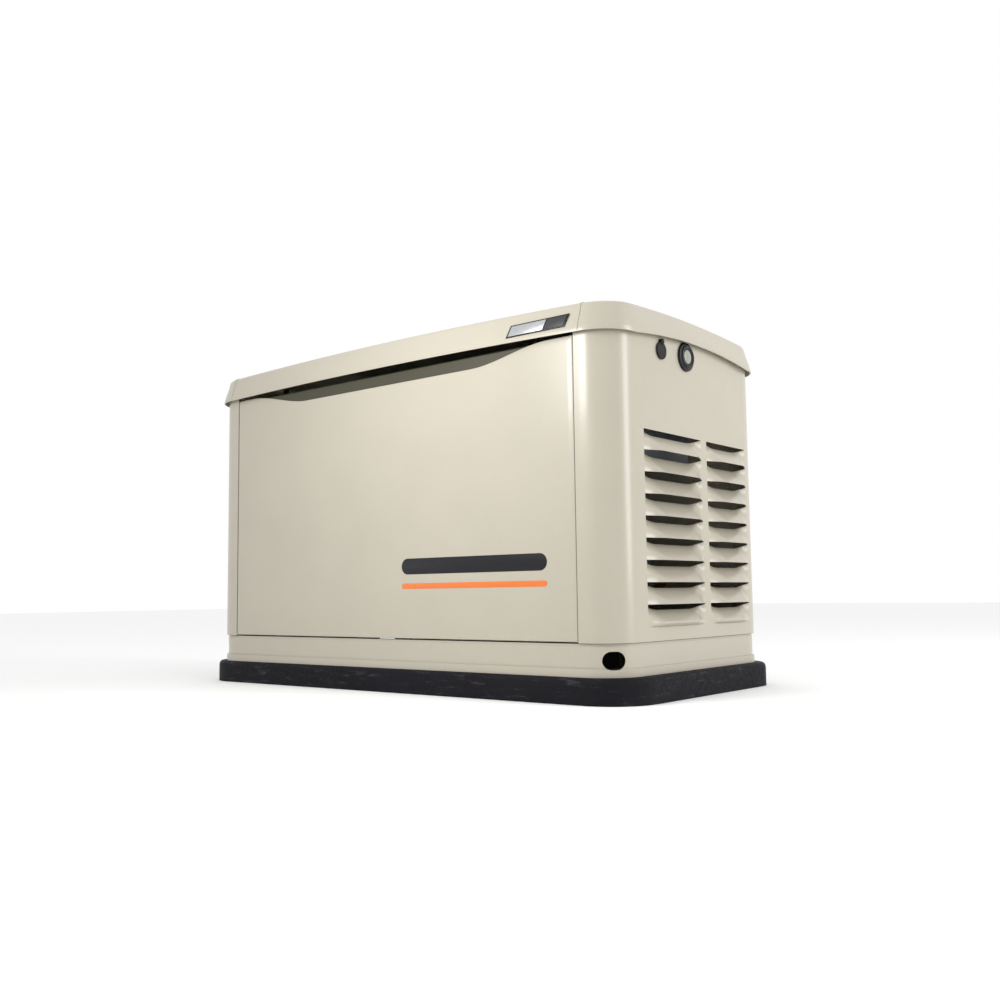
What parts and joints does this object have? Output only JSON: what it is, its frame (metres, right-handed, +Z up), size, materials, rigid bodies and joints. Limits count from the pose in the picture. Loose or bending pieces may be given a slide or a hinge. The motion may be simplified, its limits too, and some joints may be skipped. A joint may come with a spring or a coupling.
{
  "type": "home standby generator",
  "caption": "Home standby generator: beige steel enclosure on a dark pad, hinged lid, lift-off front panel, louvred sides, V-twin gas engine and alternator inside.",
  "frame": {"origin": "centre of the pad's underside", "axes": "+X along the length towards the control end, +Y towards the hinged back, +Z up"},
  "size_m": [1.266, 0.641, 0.783],
  "materials": {
    "composite": "matte",
    "panel_paint": "satin",
    "rubber": "matte",
    "galvanised": "satin",
    "dark_paint": "satin",
    "cast_aluminium": "matte",
    "black_plastic": "satin",
    "ceramic_white": "gloss",
    "machined_steel": "satin",
    "filter_paper": "matte",
    "hot_steel": "matte",
    "orange_paint": "gloss",
    "yellow_plastic": "gloss",
    "brass": "satin",
    "copper_paint": "satin",
    "red_plastic": "gloss",
    "green_plastic": "gloss",
    "blue_plastic": "gloss",
    "lens": "gloss",
    "badge_metal": "satin"
  },
  "bodies": {
    "enclosure": {"pad": "composite", "base_frame": "panel_paint", "rubber_mounts": "rubber", "left_side_panel": "panel_paint", "right_side_panel": "panel_paint", "rear_panel": "panel_paint", "exhaust_divider": "galvanised", "control_divider": "galvanised", "front_rail": "dark_paint", "crankcase": "cast_aluminium", "cylinders": "cast_aluminium", "cylinder_heads": "cast_aluminium", "valve_covers": "black_plastic", "blower_housing": "black_plastic", "spark_plugs": "ceramic_white", "intake_manifold": "cast_aluminium", "throttle_body": "cast_aluminium", "air_box": "black_plastic", "air_filter": "filter_paper", "exhaust_pipes": "hot_steel", "muffler": "dark_paint", "oil_filter": "orange_paint", "starter_motor": "dark_paint", "alternator_stator": "dark_paint", "bearing_carrier": "cast_aluminium", "rear_bearing": "machined_steel", "gas_regulator": "galvanised", "fuel_hose": "rubber", "fuel_inlet": "brass", "battery": "black_plastic", "battery_tray": "black_plastic", "control_box": "galvanised", "controller": "black_plastic", "main_breaker": "black_plastic", "window_bezel": "black_plastic", "window_lens": "lens", "hinge_brackets": "machined_steel"},
    "lid": {"lid_roof": "panel_paint", "lid_left_cap": "panel_paint", "lid_right_cap": "panel_paint", "lid_brackets": "machined_steel", "badge": "badge_metal"},
    "front_panel": {"front_panel": "panel_paint"},
    "right_lock_cover": {"right_lock_cover": "rubber"},
    "left_lock_cover": {"left_lock_cover": "rubber"},
    "right_lock": {"right_lock": "machined_steel"},
    "left_lock": {"left_lock": "machined_steel"},
    "crank": {"crankshaft": "machined_steel", "flywheel": "dark_paint", "rotor": "copper_paint"},
    "camshaft": {"camshaft": "machined_steel"},
    "throttle": {"throttle_plate": "machined_steel"},
    "filter_cover": {"filter_cover": "black_plastic"},
    "dipstick": {"dipstick": "yellow_plastic"},
    "off_button": {"off_button": "red_plastic"},
    "auto_button": {"auto_button": "green_plastic"},
    "manual_button": {"manual_button": "blue_plastic"},
    "breaker_lever": {"breaker_lever": "black_plastic"},
    "front_piston": {"front_piston": "cast_aluminium"},
    "rear_piston": {"rear_piston": "cast_aluminium"}
  },
  "joints": [
    {"name": "lid_hinge", "type": "hinge", "parent": "enclosure", "child": "lid", "pos_m": [0, 0.316, 0.697], "axis": [-1, 0, 0], "range_deg": [0, 80]},
    {"name": "front_panel_lift_off", "type": "slide", "parent": "enclosure", "child": "front_panel", "axis": [0, -1, 0], "range_m": [0, 0.4]},
    {"name": "right_lock_cover_swing", "type": "hinge", "parent": "enclosure", "child": "right_lock_cover", "pos_m": [0.605, -0.127, 0.705], "axis": [1, 0, 0], "range_deg": [0, 100]},
    {"name": "left_lock_cover_swing", "type": "hinge", "parent": "enclosure", "child": "left_lock_cover", "pos_m": [-0.605, -0.127, 0.705], "axis": [1, 0, 0], "range_deg": [0, 100]},
    {"name": "right_lock_turn", "type": "hinge", "parent": "enclosure", "child": "right_lock", "pos_m": [0.604, -0.127, 0.687], "axis": [-1, 0, 0], "range_deg": [0, 90]},
    {"name": "left_lock_turn", "type": "hinge", "parent": "enclosure", "child": "left_lock", "pos_m": [-0.604, -0.127, 0.687], "axis": [-1, 0, 0], "range_deg": [0, 90]},
    {"name": "crank_spin", "type": "hinge", "parent": "enclosure", "child": "crank", "pos_m": [0, 0.02, 0.3], "axis": [1, 0, 0], "continuous": true},
    {"name": "camshaft_spin", "type": "hinge", "parent": "enclosure", "child": "camshaft", "pos_m": [0, 0.02, 0.2], "axis": [1, 0, 0], "continuous": true},
    {"name": "throttle_turn", "type": "hinge", "parent": "enclosure", "child": "throttle", "pos_m": [-0.22, 0.02, 0.584], "axis": [1, 0, 0], "range_deg": [0, 80]},
    {"name": "filter_cover_lift_off", "type": "slide", "parent": "enclosure", "child": "filter_cover", "axis": [0, 0, 1], "range_m": [0, 0.05]},
    {"name": "dipstick_pull", "type": "slide", "parent": "enclosure", "child": "dipstick", "axis": [0, 0, 1], "range_m": [0, 0.17]},
    {"name": "off_button_press", "type": "slide", "parent": "enclosure", "child": "off_button", "axis": [0, 0, -1], "range_m": [0, 0.0025], "stiffness_N_per_m": 400, "springref_m": -0.002},
    {"name": "auto_button_press", "type": "slide", "parent": "enclosure", "child": "auto_button", "axis": [0, 0, -1], "range_m": [0, 0.0025], "stiffness_N_per_m": 400, "springref_m": -0.002},
    {"name": "manual_button_press", "type": "slide", "parent": "enclosure", "child": "manual_button", "axis": [0, 0, -1], "range_m": [0, 0.0025], "stiffness_N_per_m": 400, "springref_m": -0.002},
    {"name": "breaker_throw", "type": "hinge", "parent": "enclosure", "child": "breaker_lever", "pos_m": [0.335, -0.01, 0.662], "axis": [-1, 0, 0], "range_deg": [0, 60]},
    {"name": "front_piston_stroke", "type": "slide", "parent": "enclosure", "child": "front_piston", "axis": [0, 0.7071, -0.7071], "range_m": [0, 0.074]},
    {"name": "rear_piston_stroke", "type": "slide", "parent": "enclosure", "child": "rear_piston", "axis": [0, -0.7071, -0.7071], "range_m": [0, 0.074]}
  ],
  "couplings": [
    {"joint": "camshaft_spin", "follows": "crank_spin", "ratio": -0.5}
  ]
}
